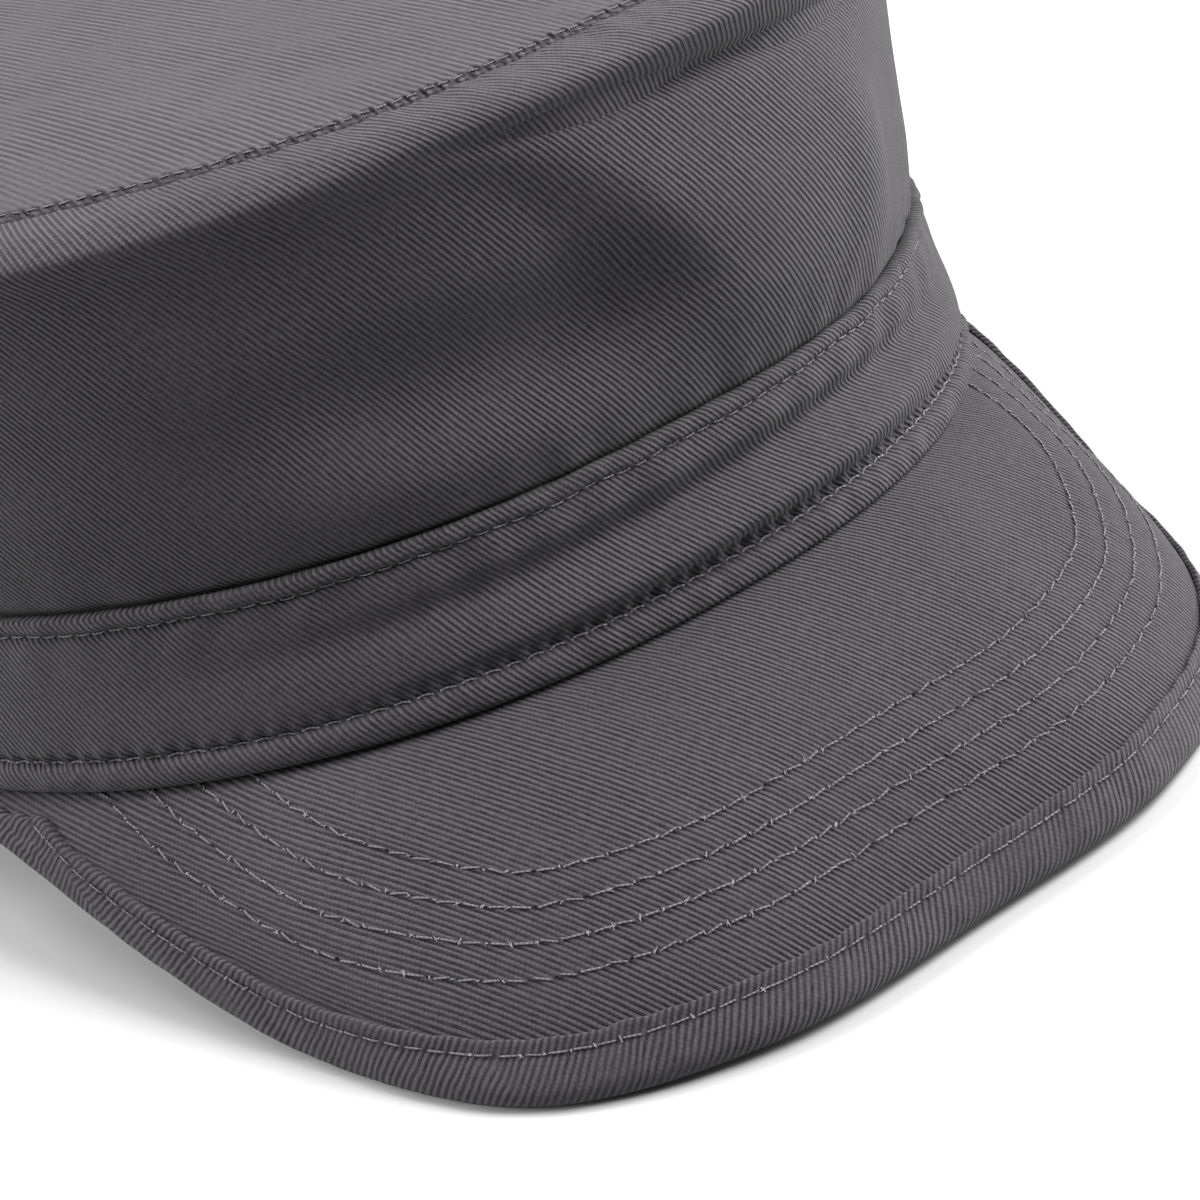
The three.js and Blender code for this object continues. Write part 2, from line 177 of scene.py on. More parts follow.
def slump(angle, height):
    """How far the slumped fold stands out from the crown's side."""
    deg, share = np.degrees(angle), height / CROWN_HEIGHT
    heights, turns = np.array(SLUMP_EDGE).T
    left = smooth(heights, turns, np.clip(share, heights[0], heights[-1]))
    crease = SLUMP_CREASE[0] + SLUMP_CREASE[1] * deg
    soft = SLUMP_SOFT * (1 + 2 * np.maximum(crease - share, 0))
    rise = step(deg, left - soft / 3, left + soft)
    fall = 1 - step(deg, *SLUMP_RIGHT)
    below, out = np.array(SLUMP_DROP).T
    return SLUMP_DEPTH * rise * fall * smooth(below, out, np.clip(crease - share, 0, 1))


def folds(table, angle, height, whole):
    """Sum of the folds of a table, in millimetres outwards."""
    deg = np.degrees(angle)
    total = np.zeros(np.broadcast(angle, height).shape)
    for turn, at, slant, spread, reach, depth in table:
        d = (deg - turn + 540) % 360 - 180
        centre = (at + slant * d / 10) * whole
        total = total + depth * np.exp(-np.abs(d / spread)**3 - ((height - centre) / (reach * whole))**2)
    return total


# Crown side: share of the rise, bulge as a share of the shoulder, tuck as a share of the inset.
CROWN_PROFILE = [
    (0.022, -0.84, 0),
    (0.075, -0.63, 0),
    (0.2, -0.33, 0),
    (0.34, -0.19, 0),
    (0.48, -0.08, 0),
    (0.6, 0.05, 0),
    (0.7, 0.15, 0),
    (0.775, 0.28, 0),
    (0.83, 0.47, 0),
    (0.875, 0.76, 0),
    (0.91, 0.98, 0),
    (0.93, 1.03, 0),
    (0.94, 0.97, 0),
    (0.952, 0.83, 0),
    (0.975, 0.42, 0.02),
    (0.991, 0, 0.3),
    (1, 0, 0.95),
]
# Outside of the band: height in its zone, out as a share of the welt's bulge.
WELT = [(0, 0), (0.12, 0.55), (0.35, 0.95), (0.65, 0.95), (0.88, 0.45), (1.0, -0.35)]
BAND_RELIEF = [(0.0, -0.35), (0.06, 0.15), (0.15, 0.3), (0.5, 0.0), (0.85, 0.0), (0.95, -0.1), (1.0, -0.3)]
EDGE = [(0.12, 0.2), (0.35, 0.75), (0.7, 0.85), (0.95, 0.5), (1.0, 0.1)]


def crown_surface(angle, share):
    """Outer face of the crown side. share 0 is its hidden lower edge, 1 is the top seam."""
    z0 = BAND_HEIGHT
    zs = [z0 - CROWN_TUCK, z0 - 0.4] + [z0 + r * RISE for r, _, _ in CROWN_PROFILE]
    hidden = -BAND_LEAN - BAND_WALL - 0.35
    outs = [hidden, hidden] + [b * SHOULDER_OUT - t * SEAM_INSET for _, b, t in CROWN_PROFILE]
    zs, outs = np.array(zs), np.array(outs)
    length = np.r_[0, np.cumsum(np.hypot(np.diff(zs), np.diff(outs)))]
    at = share * length[-1]
    z, out = smooth(length, zs, at), smooth(length, outs, at)
    rise = (z - z0) / RISE
    left = length[-1] - at
    arc = arc_at(angle)
    fade = step(left, 0.3, 6)
    settle = np.clip(1 - rise * 8, 0, 1)
    out = out + fade * (folds(CROWN_FOLDS, angle, z, CROWN_HEIGHT) + slump(angle, z))
    out = out + settle * folds(BAND_FOLDS, angle, BAND_HEIGHT, BAND_HEIGHT)
    low = np.exp(-(np.maximum(z - z0, 0) / 6)**2) * step(z, z0 - 1, z0 + 2)
    out = out + 0.22 * low * wobble(arc, 11, 7, 24)
    out = out + 0.35 * step(rise, 0.1, 0.3) * fade * wobble(arc + 0.5 * z, 12, 45, 160)
    gather = np.exp(-((left - 2.2) / 3.4)**2) * step(left, 0, 1.2)
    z = z + 0.14 * np.exp(-((left - 1.1) / 0.8)**2) * (0.4 - 0.6 * np.cos(TURN * arc / SEAM_PITCH))
    z = z + 0.14 * gather * wobble(arc, 13, 4.5, 13, count=14)
    z = z - 0.45 * np.exp(-(left / 0.7)**2)
    sunk = 0.7 * back_seam(arc, 0.9) * fade * step(rise, -0.02, 0.02)
    return rim(angle, out - sunk, z), at


def band_surface(angle, share):
    """Outer face of the band. share 0 is the rim, 1 is the folded upper edge."""
    z = share * BAND_HEIGHT
    top = BAND_HEIGHT - EDGE_FOLD
    w = np.array(WELT)
    m = np.array(BAND_RELIEF)
    e = np.array(EDGE)
    zs = np.r_[w[:, 0] * WELT_HEIGHT, WELT_HEIGHT + 0.15 + m[1:, 0] * (top - WELT_HEIGHT - 0.15),
               top + e[:, 0] * EDGE_FOLD]
    outs = np.r_[w[:, 1], m[1:, 1], e[:, 1]] * WELT_BULGE
    arc = arc_at(angle)
    out = -BAND_LEAN * share + smooth(zs, outs, z) + folds(BAND_FOLDS, angle, z, BAND_HEIGHT)
    under = np.exp(-(np.maximum(top - z, 0) / 7)**2) * step(top - z, 0.1, 1.5)
    out = out + 0.3 * under * wobble(arc - 0.25 * z, 21, 8, 26)
    over = np.exp(-(np.maximum(z - WELT_HEIGHT, 0) / 3.2)**2) * step(z, WELT_HEIGHT, WELT_HEIGHT + 1)
    out = out + 0.2 * over * wobble(arc, 22, 6, 18)
    hem = step(z, 0.2, 1.2) * step(WELT_HEIGHT - z, 0, 0.8)
    out = out + 0.12 * hem * wobble(arc, 23, 5, 16)
    out = out + 0.12 * step(z, top, top + 0.6) * wobble(arc, 24, 4, 11)
    pull = np.cos(TURN * arc / HEM_PITCH)
    out = out - 0.42 * np.exp(-((z - WELT_HEIGHT - 0.1) / 0.75)**2) * (0.5 - 0.5 * pull)
    out = out + 0.3 * np.exp(-((z - WELT_HEIGHT - 1.1) / 0.6)**2) * pull
    out = out - 0.16 * np.exp(-((z - top) / 0.6)**2) * (0.5 - 0.5 * np.cos(TURN * arc / BAND_PITCH))
    lift = 0.18 * step(z, top - 4, top) * wobble(arc, 25, 9, 40)
    return rim(angle, out - 0.5 * back_seam(arc, 0.8), z + lift), z + 0 * angle


# Edge of the peak: along, side, forward, drop and bow shares from its middle to its corner.
PEAK_EDGE = [
    (0, 0, 1, 1, 1),
    (0.2, 0.388, 0.984, 0.988, 0.96),
    (0.4, 0.716, 0.837, 0.954, 0.9),
    (0.58, 0.854, 0.578, 0.838, 0.62),
    (0.74, 0.927, 0.356, 0.561, 0.47),
    (0.88, 0.974, 0.178, 0.248, 0.27),
    (1, 1, 0, 0, 0),
]
ROOT_POWER = 0.72
PEAK_END = 0.955


def mirrored(column, odd, at):
    """A column of the peak's edge at signed shares. odd: the other side has the other sign."""
    t = np.array(PEAK_EDGE, float)
    xs = np.r_[-t[:0:-1, 0], t[:, 0]]
    ys = np.r_[(-1 if odd else 1) * t[:0:-1, column], t[:, column]]
    return smooth(xs, ys, at)


def peak_ribs(place):
    """Roots, edges, normals, bows and square lengths of ribs at signed shares of the half edge."""
    corner = rim(math.radians(PEAK_HALF_ANGLE), 0, 0)
    tip = -A - PEAK_REACH

    def edge_at(u):
        return np.stack([corner[0] * mirrored(1, True, u),
                         corner[1] + (tip - corner[1]) * mirrored(2, False, u),
                         -PEAK_DROP * mirrored(3, False, u)], -1)

    edge = edge_at(place)
    turn = math.radians(PEAK_HALF_ANGLE) * np.sign(place) * np.abs(place)**ROOT_POWER
    dip = 0.5 + 0.5 * step(np.abs(place), 0.6, 0.9)
    root = rim(turn, 0, -dip)
    across = edge_at(np.clip(place + 0.01, -1, 1)) - edge_at(np.clip(place - 0.01, -1, 1))
    across /= np.linalg.norm(across, axis=1)[:, None]
    rib = edge - root
    normal = np.cross(rib, across)
    normal /= np.linalg.norm(normal, axis=1)[:, None]
    length = np.linalg.norm(rib, axis=1)
    square = length * np.sqrt(1 - ((rib * across).sum(1) / length)**2)
    return root, edge, normal, PEAK_BOW * mirrored(4, False, place), square


def peak_points(ribs, share, lift):
    """Points on the peak: share (ribs x stations) from root to edge, raised along the normal."""
    root, edge, normal, bow, _ = ribs
    p = root[:, None] * (1 - share[..., None]) + edge[:, None] * share[..., None]
    return p + normal[:, None] * (lift + 4 * share * (1 - share) * bow[:, None])[..., None]


def edge_distance(points, edge):
    """Distance of a grid of points to the polyline of the edge."""
    a, b = edge[:-1], edge[1:]
    ab = b - a
    out = np.empty(points.shape[:2])
    for i, row in enumerate(points):
        lo, hi = max(0, i - 60), min(len(a), i + 60)
        aa, dd = a[lo:hi], ab[lo:hi]
        t = np.clip(((row[:, None] - aa) * dd).sum(-1) / (dd**2).sum(-1), 0, 1)
        out[i] = np.sqrt(((row[:, None] - aa - t[..., None] * dd)**2).sum(-1).min(1))
    return out


def unroll(root, edge):
    """Flat pattern of a ruled strip: 2D points of its roots and edges."""
    r2, e2 = [np.zeros(2)], [np.array([0.0, np.linalg.norm(edge[0] - root[0])])]

    def apex(p, q, dp, dq, side):
        d = np.linalg.norm(q - p)
        x = (dp * dp - dq * dq + d * d) / (2 * d)
        h = math.sqrt(max(dp * dp - x * x, 0))
        u = (q - p) / d
        return p + u * x + side * h * np.array([-u[1], u[0]])

    for i in range(len(root) - 1):
        nr = apex(r2[-1], e2[-1], np.linalg.norm(root[i + 1] - root[i]),
                  np.linalg.norm(root[i + 1] - edge[i]), -1)
        ne = apex(nr, e2[-1], np.linalg.norm(edge[i + 1] - root[i + 1]),
                  np.linalg.norm(edge[i + 1] - edge[i]), -1)
        r2.append(nr)
        e2.append(ne)
    return np.array(r2), np.array(e2)


# Into the row frame, in metres.
LEANED = np.array([
    [1, 0, 0],
    [0, math.cos(LEAN), math.sin(LEAN)],
    [0, -math.sin(LEAN), math.cos(LEAN)],
])


def placed(points):
    """Points of the cap where it lies, pressed flat on the floor."""
    p = np.asarray(points) @ LEANED.T + np.array([0, MOVED_BACK, RAISED])
    p[..., 2] = np.maximum(p[..., 2], LOWEST)
    return p * MM


def make_mesh(name, points, faces, uvs, material):
    """A smooth mesh from points, faces with the same number of corners, and layers of corner places."""
    mesh = bpy.data.meshes.new(name)
    mesh.vertices.add(len(points))
    mesh.vertices.foreach_set("co", placed(points).ravel())
    sizes = faces.shape[1]
    mesh.loops.add(faces.size)
    mesh.loops.foreach_set("vertex_index", faces.ravel().astype(np.int32))
    mesh.polygons.add(len(faces))
    mesh.polygons.foreach_set("loop_start", np.arange(len(faces), dtype=np.int32) * sizes)
    mesh.polygons.foreach_set("use_smooth", np.ones(len(faces), bool))
    mesh.update(calc_edges=True)
    for layer, uv in uvs.items():
        mesh.uv_layers.new(name=layer).data.foreach_set("uv", uv.ravel())
    mesh.validate()
    mesh.materials.append(material)
    obj = bpy.data.objects.new(name, mesh)
    bpy.context.collection.objects.link(obj)
    return obj


def shell(name, outer, inner, cloth_uv, seam_uv, wrap, material):
    """Cloth with an inside: rows of sections, each an outer and an inner run of points.
    wrap closes it by joining the last section to the first. Else each end is only partly filled.
    The inner run repeats the ends of the outer one."""
    rows, m, k = outer.shape[0], outer.shape[1], inner.shape[1]
    loop = np.concatenate([outer, inner[:, ::-1]], 1)
    pick = np.round(np.linspace(m - 1, 0, k)).astype(int)
    uv1 = np.concatenate([cloth_uv, cloth_uv[:, pick]], 1)
    uv2 = np.concatenate([seam_uv, seam_uv[:, pick] * [1, 0] + [0, 60]], 1)
    width = m + k
    count = rows - 1
    solid = rows - 1 if wrap else rows
    r = np.arange(count)[:, None]
    c = np.arange(width)[None]
    d = (c + 1) % width
    n = (r + 1) % solid
    quad = np.stack([r * width + c, n * width + c, n * width + d, r * width + d], -1).reshape(-1, 4)
    flat_r, flat_n = np.broadcast_to(r, (count, width)), np.broadcast_to(r + 1, (count, width))
    cc, dd = np.broadcast_to(c, (count, width)), np.broadcast_to(d, (count, width))

    def loops(uv):
        return np.stack([uv[flat_r, cc], uv[flat_n, cc], uv[flat_n, dd], uv[flat_r, dd]], 2).reshape(-1, 2)

    points = loop[:solid].reshape(-1, 3)
    u1, u2 = loops(uv1), loops(uv2)
    if not wrap:
        here = np.round(np.linspace(0, m - 1, k)).astype(int)[:-1]
        there = width - 1 - np.arange(k - 1)
        end = np.stack([here, here + 1, there - 1, there], 1)
        quad = np.concatenate([quad, end[:, ::-1], end + (rows - 1) * width])
        u1 = np.concatenate([u1, np.repeat(uv1[0, here], 4, 0), np.repeat(uv1[-1, here], 4, 0)])
        u2 = np.concatenate([u2, np.repeat(uv2[0, here], 4, 0), np.repeat(uv2[-1, here], 4, 0)])
    return make_mesh(name, points, quad, {"cloth": u1, "seam": u2}, material)


def normals(points):
    """Unit normals of a grid of points."""
    du, dv = np.gradient(points, axis=0), np.gradient(points, axis=1)
    n = np.cross(du, dv)
    return n / (np.linalg.norm(n, axis=2)[..., None] + 1e-12)


def sample(at, arc, rows):
    """Rows of numbers at lengths along a path."""
    return np.stack([np.interp(at, arc, rows[:, k]) for k in range(3)], -1)


def sewing(name, path, up, pitch, length, radius, material, seed,
           lift=0.12, sink=0.3, cross=0.1, measure=None):
    """A row of single stitches along a path that lies on cloth, as one mesh of short bent threads."""
    rng = np.random.RandomState(seed)
    arc = arcs(path) if measure is None else measure
    first = arc[0] / pitch
    count = int((arc[-1] - arc[0]) / pitch)
    bends = np.array([-0.5, -0.42, -0.22, 0.0, 0.22, 0.42, 0.5])
    rise = np.array([-sink, 0.35 * lift, 0.95 * lift, lift, 0.95 * lift, 0.35 * lift, -sink])
    sides = 6
    ring = np.arange(sides) * TURN / sides
    points, faces = [], []
    for i in range(count):
        middle = (math.ceil(first) + i + 0.5) * pitch + rng.uniform(-0.06, 0.06) * pitch
        size = length * rng.uniform(0.92, 1.08)
        skew = rng.uniform(-cross, cross)
        at = middle + bends * size
        p, n = sample(at, arc, path), sample(at, arc, up)
        n /= np.linalg.norm(n, axis=1)[:, None]
        t = np.gradient(p, axis=0)
        t /= np.linalg.norm(t, axis=1)[:, None]
        s = np.cross(t, n)
        p = p + n * rise[:, None] * rng.uniform(0.85, 1.15) + s * (skew * bends * 2)[:, None]
        r = radius * rng.uniform(0.9, 1.1) * np.array([0.75, 0.95, 1, 1, 1, 0.95, 0.75])
        round_it = (np.cos(ring)[None, :, None] * s[:, None]
                    + 0.8 * np.sin(ring)[None, :, None] * n[:, None])
        tube = p[:, None] + r[:, None, None] * round_it
        base = len(points) * len(bends) * sides
        points.append(tube.reshape(-1, 3))
        for b in range(len(bends) - 1):
            for k in range(sides):
                j = (k + 1) % sides
                faces.append([base + b * sides + k, base + b * sides + j,
                              base + (b + 1) * sides + j, base + (b + 1) * sides + k])
    faces = np.array(faces)
    along = np.tile(np.repeat(np.linspace(0, 1, len(bends)), sides), count)
    across = np.tile(ring / TURN, count * len(bends))
    number = np.repeat(np.arange(count), len(bends) * sides)
    uv = np.stack([along + number, across], 1)[faces.ravel()]
    return make_mesh(name, np.concatenate(points), faces, {"cloth": uv}, material)


def lint(name, path, up, pitch, share, size, material, seed):
    """Tufts of lint that the needle pulled up, where the stitches of a row meet."""
    rng = np.random.RandomState(seed)
    arc = arcs(path)
    points, faces = [], []
    for i in range(1, int(arc[-1] / pitch)):
        if rng.uniform() > share:
            continue
        at = i * pitch + rng.uniform(-0.15, 0.15)
        p, n = sample(at, arc, path), sample(at, arc, up)
        q = sample(at + 0.3, arc, path) - p
        q /= np.linalg.norm(q)
        s = np.cross(q, n)
        grow = size * rng.uniform(0.5, 1.35)
        for _ in range(rng.randint(2, 5)):
            a = rng.uniform(0, TURN)
            d = q * math.cos(a) + s * math.sin(a) + n * rng.uniform(-0.15, 0.35)
            side = np.cross(d, n)
            side /= np.linalg.norm(side)
            high = n * rng.uniform(0.05, 0.16)
            o = p + high + (q * rng.uniform(-1, 1) + s * rng.uniform(-1, 1)) * 0.1 * grow
            half, r = 0.5 * grow * rng.uniform(0.5, 1.1), 0.065 * rng.uniform(0.7, 1.3)
            base = len(points) * 9
            block = ((o - d * half, 0.6 * r), (o + n * 0.06 * grow, r), (o + d * half, 0.6 * r))
            points.append(np.array([c + way * thick for c, thick in block for way in (side, n, -side)]))
            for j in (base, base + 3):
                for k in range(3):
                    m = (k + 1) % 3
                    faces.append([j + k, j + m, j + 3 + m, j + 3 + k])
    faces = np.array(faces)
    return make_mesh(name, np.concatenate(points), faces, {"cloth": np.zeros((faces.size, 2))}, material)


def holes(name, path, up, pitch, radius, material, seed):
    """Needle holes where the stitches of a row meet, as low dark spots on the cloth: painted shade standing
    in for the depth of each hole.
    """
    rng = np.random.RandomState(seed)
    arc = arcs(path)
    sides = 6
    turn = np.arange(sides) * TURN / sides
    points, faces = [], []
    for i in range(1, int(arc[-1] / pitch)):
        at = i * pitch + rng.uniform(-0.1, 0.1)
        p, n = sample(at, arc, path), sample(at, arc, up)
        q = sample(at + 0.3, arc, path) - p
        q /= np.linalg.norm(q)
        s = np.cross(q, n)
        size = radius * rng.uniform(0.6, 1.3)
        ring = p + size * (np.cos(turn)[:, None] * q * 1.3 + np.sin(turn)[:, None] * s) - 0.04 * n
        base = len(points) * (sides + 1)
        points.append(np.concatenate([ring, [p + 0.07 * n]]))
        for k in range(sides):
            faces.append([base + k, base + (k + 1) % sides, base + sides])
    faces = np.array(faces)
    return make_mesh(name, np.concatenate(points), faces, {"cloth": np.zeros((faces.size, 2))}, material)


# Materials. Colours are of one charcoal cotton, from the painted shade between its wales to bare lint.
SHADED_GROOVE_YARN, LIT_RIDGE_YARN = (0.0098, 0.0091, 0.0101, 1), (0.074, 0.069, 0.075, 1)
# Painted shade: the colour of the sewn grooves' hollows, and of the pits between the seam thread's bites.
GROOVE_SHADE, PIT_SHADE = (0.0085, 0.008, 0.0087, 1), (0.016, 0.015, 0.017, 1)
# Painted shade: the flat colour of the needle-hole spots.
HOLE_SHADE = (0.008, 0.0075, 0.009, 1)
THREAD_DARK, THREAD_LIGHT = (0.055, 0.052, 0.056, 1), (0.165, 0.157, 0.167, 1)
PALE_THREAD_DARK, PALE_THREAD_LIGHT = (0.075, 0.07, 0.076, 1), (0.21, 0.2, 0.213, 1)
LINT_DARK, LINT_LIGHT = (0.09, 0.087, 0.092, 1), (0.33, 0.32, 0.335, 1)
FLOAT_LENGTH = 0.62


def node(tree, kind, **inputs):
    n = tree.nodes.new(kind)
    for key, value in inputs.items():
        setattr(n, key, value)
    return n


class Graph:
    """Small helper that chains shader nodes."""

    def __init__(self, name):
        self.material = bpy.data.materials.new(name)
        self.material.use_nodes = True
        self.tree = self.material.node_tree
        self.shader = self.tree.nodes["Principled BSDF"]

    def plug(self, value, socket):
        if isinstance(value, bpy.types.NodeSocket):
            self.tree.links.new(value, socket)
        else:
            socket.default_value = value

    def math(self, op, a, b=0.0, c=0.0, clamp=False):
        n = node(self.tree, "ShaderNodeMath", operation=op, use_clamp=clamp)
        for value, socket in zip((a, b, c), n.inputs):
            self.plug(value, socket)
        return n.outputs[0]

    def uv(self, layer):
        uv = node(self.tree, "ShaderNodeUVMap", uv_map=layer)
        split = node(self.tree, "ShaderNodeSeparateXYZ")
        self.plug(uv.outputs[0], split.inputs[0])
        return split.outputs[0], split.outputs[1]

    def join(self, x, y, z=0.0):
        n = node(self.tree, "ShaderNodeCombineXYZ")
        for value, socket in zip((x, y, z), n.inputs):
            self.plug(value, socket)
        return n.outputs[0]

    def noise(self, vector, scale, detail=2.0, rough=0.5):
        n = node(self.tree, "ShaderNodeTexNoise")
        self.plug(vector, n.inputs["Vector"])
        n.inputs["Scale"].default_value = scale
        n.inputs["Detail"].default_value = detail
        n.inputs["Roughness"].default_value = rough
        return n.outputs["Fac"]

    def range(self, value, a, b, c, d):
        n = node(self.tree, "ShaderNodeMapRange", interpolation_type="SMOOTHSTEP")
        for v, socket in zip((value, a, b, c, d), n.inputs):
            self.plug(v, socket)
        return n.outputs[0]

    def mix(self, fac, a, b):
        n = node(self.tree, "ShaderNodeMix", data_type="RGBA")
        self.plug(fac, n.inputs["Factor"])
        self.plug(a, n.inputs[6])
        self.plug(b, n.inputs[7])
        return n.outputs[2]

    def bump(self, height, distance, normal=None):
        n = node(self.tree, "ShaderNodeBump")
        n.inputs["Strength"].default_value = 1.0
        n.inputs["Distance"].default_value = distance
        self.plug(height, n.inputs["Height"])
        if normal is not None:
            self.plug(normal, n.inputs["Normal"])
        return n.outputs[0]

    def around(self, fac, weight):
        """A noise that goes about a half, made to go about 0."""
        return self.math("MULTIPLY", self.math("SUBTRACT", fac, 0.5), weight)

    def total(self, first, *rest, clamp=False):
        for i, value in enumerate(rest):
            first = self.math("ADD", first, value, clamp=clamp and i == len(rest) - 1)
        return first

    def bell(self, distance, middle, half):
        """1 in the middle of a row, 0 away from it."""
        gone = self.math("DIVIDE", self.math("SUBTRACT", distance, middle), half)
        return self.math("POWER", math.e, self.math("MULTIPLY", self.math("MULTIPLY", gone, gone), -1.0))

    def finish(self, colour, roughness, shine, normal=None):
        self.plug(colour, self.shader.inputs["Base Color"])
        if normal is not None:
            self.plug(normal, self.shader.inputs["Normal"])
        self.shader.inputs["Roughness"].default_value = roughness
        self.shader.inputs["Specular IOR Level"].default_value = shine
        return self.material


def twill(name, direction, pitch=WALE, rows=(), teeth=None, depth=0.23, plain=0.35):
    """Cotton twill. direction: degrees of the wales in the cloth layer, in millimetres.
    rows: (distance, half width, depth) of sewn grooves across the seam layer. teeth: (distance, pitch).
    depth: of the weave, in millimetres. plain: how much the wales fade where the cloth is fuzzy."""
    g = Graph(name)
    u, v = g.uv("cloth")
    s, c = math.sin(math.radians(direction)), math.cos(math.radians(direction))
    along = g.math("ADD", g.math("MULTIPLY", u, c), g.math("MULTIPLY", v, s))
    across = g.math("ADD", g.math("MULTIPLY", u, -s), g.math("MULTIPLY", v, c))

    # Wales that wander a little, floats along them, yarn, fuzz and broad wear.
    wander = g.noise(g.join(g.math("MULTIPLY", along, 0.09), g.math("MULTIPLY", across, 0.5)), 1.0, 2.0)
    phase = g.math("DIVIDE", g.math("ADD", across, g.around(wander, 0.42)), pitch)
    wave = g.math("COSINE", g.math("MULTIPLY", phase, TURN))
    fuzzy = g.noise(g.join(u, v), 0.06, 4.0, 0.6)
    clear = g.range(fuzzy, 0.32, 0.6, 1.0 - plain, 1.0)
    ridge = g.range(wave, -0.85, 0.75, -0.5, 0.5)
    ridge = g.math("ADD", g.math("MULTIPLY", ridge, clear), 0.5)
    shift = g.math("MULTIPLY", g.math("ROUND", phase), 2.2)
    beads = g.math("COSINE", g.math("ADD", g.math("MULTIPLY", along, TURN / FLOAT_LENGTH), shift))
    yarn = g.noise(g.join(g.math("MULTIPLY", along, 0.85), g.math("MULTIPLY", across, 2.2)), 1.0, 3.0, 0.65)
    fuzz = g.noise(g.join(u, v), 5.5, 3.0, 0.7)
    broad = g.noise(g.join(u, v), 0.035, 3.0, 0.55)
    height = g.total(ridge, g.math("MULTIPLY", beads, 0.09), g.around(yarn, 0.75), g.around(fuzz, 0.25))
    # Colour: the wales and floats lighter and the grooves between them darker is painted shade of the
    # weave; the yarn, fuzz and broad noise are the cotton's own random tone.
    shade = g.total(g.math("MULTIPLY", ridge, 0.62), g.around(yarn, 0.95), g.around(fuzz, 0.4),
                    g.around(broad, 0.3), g.math("MULTIPLY", beads, 0.06), 0.14, clamp=True)
    colour = g.mix(shade, SHADED_GROOVE_YARN, LIT_RIDGE_YARN)

    # Sewn grooves, and the bites of the seam's thread, with painted shade in their hollows.
    normal = None
    sa, sd = g.uv("seam")
    for distance, half, groove in rows:
        dip = g.bell(sd, distance, half)
        normal = g.bump(g.math("MULTIPLY", dip, -1.0), groove * MM, normal)
        # Painted shade: the sewn groove darkened in its colour.
        colour = g.mix(g.math("MULTIPLY", dip, 0.38), colour, GROOVE_SHADE)
    if teeth:
        distance, tooth = teeth
        near = g.bell(sd, distance, 0.75)
        lean = g.math("ADD", g.math("MULTIPLY", sa, TURN / tooth), g.math("MULTIPLY", sd, 2.4))
        jitter = g.math("MULTIPLY", g.noise(g.join(g.math("MULTIPLY", sa, 0.3), 0.0), 1.0, 2.0), 3.0)
        bite = g.math("MULTIPLY", near, g.math("SINE", g.math("ADD", lean, jitter)))
        normal = g.bump(bite, 0.35 * MM, normal)
        # Painted shade: the pits between the thread's bites darkened in their colour.
        pit_shade = g.math("MULTIPLY", g.range(bite, 0.2, 0.8, 0.0, 1.0), 0.45)
        colour = g.mix(pit_shade, colour, PIT_SHADE)
    normal = g.bump(height, depth * MM, normal)
    g.shader.inputs["Sheen Weight"].default_value = 0.055
    g.shader.inputs["Sheen Roughness"].default_value = 0.6
    return g.finish(colour, 0.92, 0.12, normal)


def thread_material(name, dark, light):
    g = Graph(name)
    u, v = g.uv("cloth")
    twist = g.math("SINE", g.math("ADD", g.math("MULTIPLY", u, 31.0), g.math("MULTIPLY", v, TURN)))
    spots = g.noise(g.join(u, v), 2.2, 3.0)
    fac = g.math("ADD", g.math("MULTIPLY", twist, 0.22), spots, clamp=True)
    return g.finish(g.mix(fac, dark, light), 0.75, 0.3, g.bump(twist, 0.05 * MM))


def lint_material(name):
    g = Graph(name)
    position = node(g.tree, "ShaderNodeNewGeometry").outputs["Position"]
    spots = g.noise(position, 900.0, 2.0)
    return g.finish(g.mix(spots, LINT_DARK, LINT_LIGHT), 0.9, 0.5)


side_cloth = twill("twill_side", 124, teeth=(0.5, SEAM_PITCH))
top_cloth = twill("twill_top", 86, pitch=1.12, depth=0.2, plain=0.75, teeth=(0.5, SEAM_PITCH))
band_rows = ((WELT_HEIGHT + 0.1, 0.35, 0.25), (BAND_HEIGHT - EDGE_FOLD, 0.35, 0.25))
band_cloth = twill("twill_band", 129, rows=band_rows)
peak_rows = tuple((ROW_FIRST + i * ROW_STEP, 0.42, 0.28) for i in range(ROWS))
peak_cloth = twill("twill_peak", 118, rows=peak_rows)
tape_cloth = twill("twill_tape", 117, pitch=0.92, depth=0.13, plain=0.6, rows=((TAPE_STITCH, 0.4, 0.22),))
thread = thread_material("sewing_thread", THREAD_DARK, THREAD_LIGHT)
pale_thread = thread_material("sewing_thread_pale", PALE_THREAD_DARK, PALE_THREAD_LIGHT)
needle_lint = lint_material("needle_lint")
# The needle-hole spots carry painted shade, not a colour of the cloth.
needle_hole_shade = Graph("needle_hole_shade").finish(HOLE_SHADE, 1.0, 0.0)


def spread(count):
    """Angles round the cap, closer together at the front."""
    even = np.linspace(-math.pi, math.pi, count + 1)
    return even - 0.35 * np.sin(even)


def settled(values, marks, weight, width):
    """Stations from 0 to 1, closer together near the marks."""
    x = np.linspace(0, 1, 4001)
    density = np.ones_like(x)
    for m in marks:
        density += weight * np.exp(-((x - m) / width)**2)
    cumulative = np.r_[0, np.cumsum((density[1:] + density[:-1]) / 2)]
    return np.interp(np.linspace(0, cumulative[-1], values), cumulative, x)


def outwards(n, front):
    """Normals, turned round where the one at the front looks back."""
    return n if front[1] < 0 else -n


def inner_stations(count, inner):
    return np.round(np.linspace(0, count - 1, inner)).astype(int)


